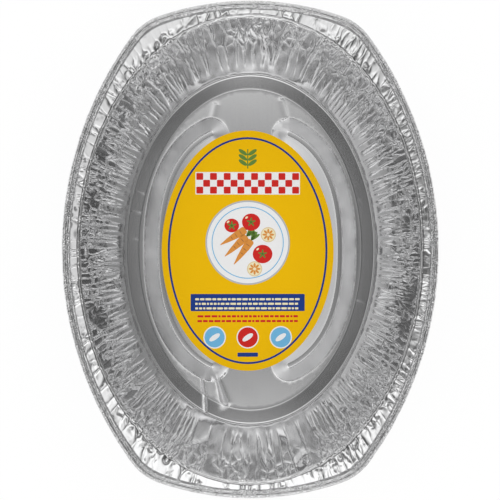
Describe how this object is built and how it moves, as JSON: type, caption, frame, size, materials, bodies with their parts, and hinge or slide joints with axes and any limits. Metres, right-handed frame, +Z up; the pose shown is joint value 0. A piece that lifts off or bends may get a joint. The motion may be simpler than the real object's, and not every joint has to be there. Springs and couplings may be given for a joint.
{
  "type": "foil roasting pan",
  "caption": "Oval foil roasting pan with a pleated wall, rolled rim and raised base ribs, and a printed card lying in it.",
  "frame": {"origin": "middle of the base, on the surface that the pan stands on", "axes": "+Y along the pan's length, +X across it, +Z up out of its mouth"},
  "size_m": [0.2804, 0.37, 0.07],
  "materials": {
    "foil": "satin rolled foil, wrinkled where it was drawn",
    "card": "coated card, printed on its upper side"
  },
  "bodies": {
    "root": {"foil_pan": "foil", "card_label": "card"}
  },
  "joints": []
}
